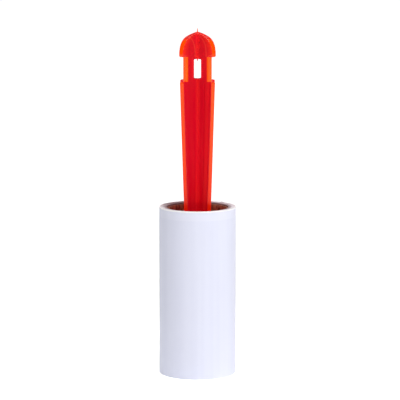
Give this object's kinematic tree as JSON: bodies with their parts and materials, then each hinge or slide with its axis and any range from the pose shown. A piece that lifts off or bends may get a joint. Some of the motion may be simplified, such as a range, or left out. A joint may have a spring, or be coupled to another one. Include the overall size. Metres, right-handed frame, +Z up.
{
  "type": "lint roller",
  "caption": "Hand-held lint roller: a clear cross-finned handle with a hanging window, and a paper-cored roll of sticky tear-off sheets that turns on the handle's spindle.",
  "frame": {"origin": "centre of the roll's lower end, on the surface it stands on", "axes": "+Z up the roll's axis to the handle's head; the handle's fins lie on the diagonals of X and Y, so that X and Y pass through the neck's window"},
  "size_m": [0.0464, 0.0464, 0.2093],
  "materials": {
    "handle_plastic": "clear fluorescent red moulding whose edges glow orange",
    "carrier_plastic": "moulded, fine satin",
    "steel": "zinc plated",
    "core_board": "spiral-wound brown board",
    "sheet_paper": "smooth coated paper with a pressure-sensitive adhesive face"
  },
  "bodies": {
    "handle_body": {"handle": "handle_plastic", "spindle_washer": "steel", "spindle_screw": "steel"},
    "carrier_body": {"roll_carrier": "carrier_plastic", "carrier_end_cap": "carrier_plastic"},
    "roll_body": {"core_tube": "core_board", "tape_pack": "sheet_paper", "third_sheet": "sheet_paper", "second_sheet": "sheet_paper", "outer_sheet": "sheet_paper"}
  },
  "joints": [
    {"name": "roll_spin", "type": "hinge", "parent": "handle_body", "child": "carrier_body", "pos_m": [0, 0, 0.05], "axis": [0, 0, 1], "continuous": true},
    {"name": "roll_pull_off", "type": "slide", "parent": "carrier_body", "child": "roll_body", "axis": [0, 0, -1], "range_m": [0, 0.11]}
  ]
}
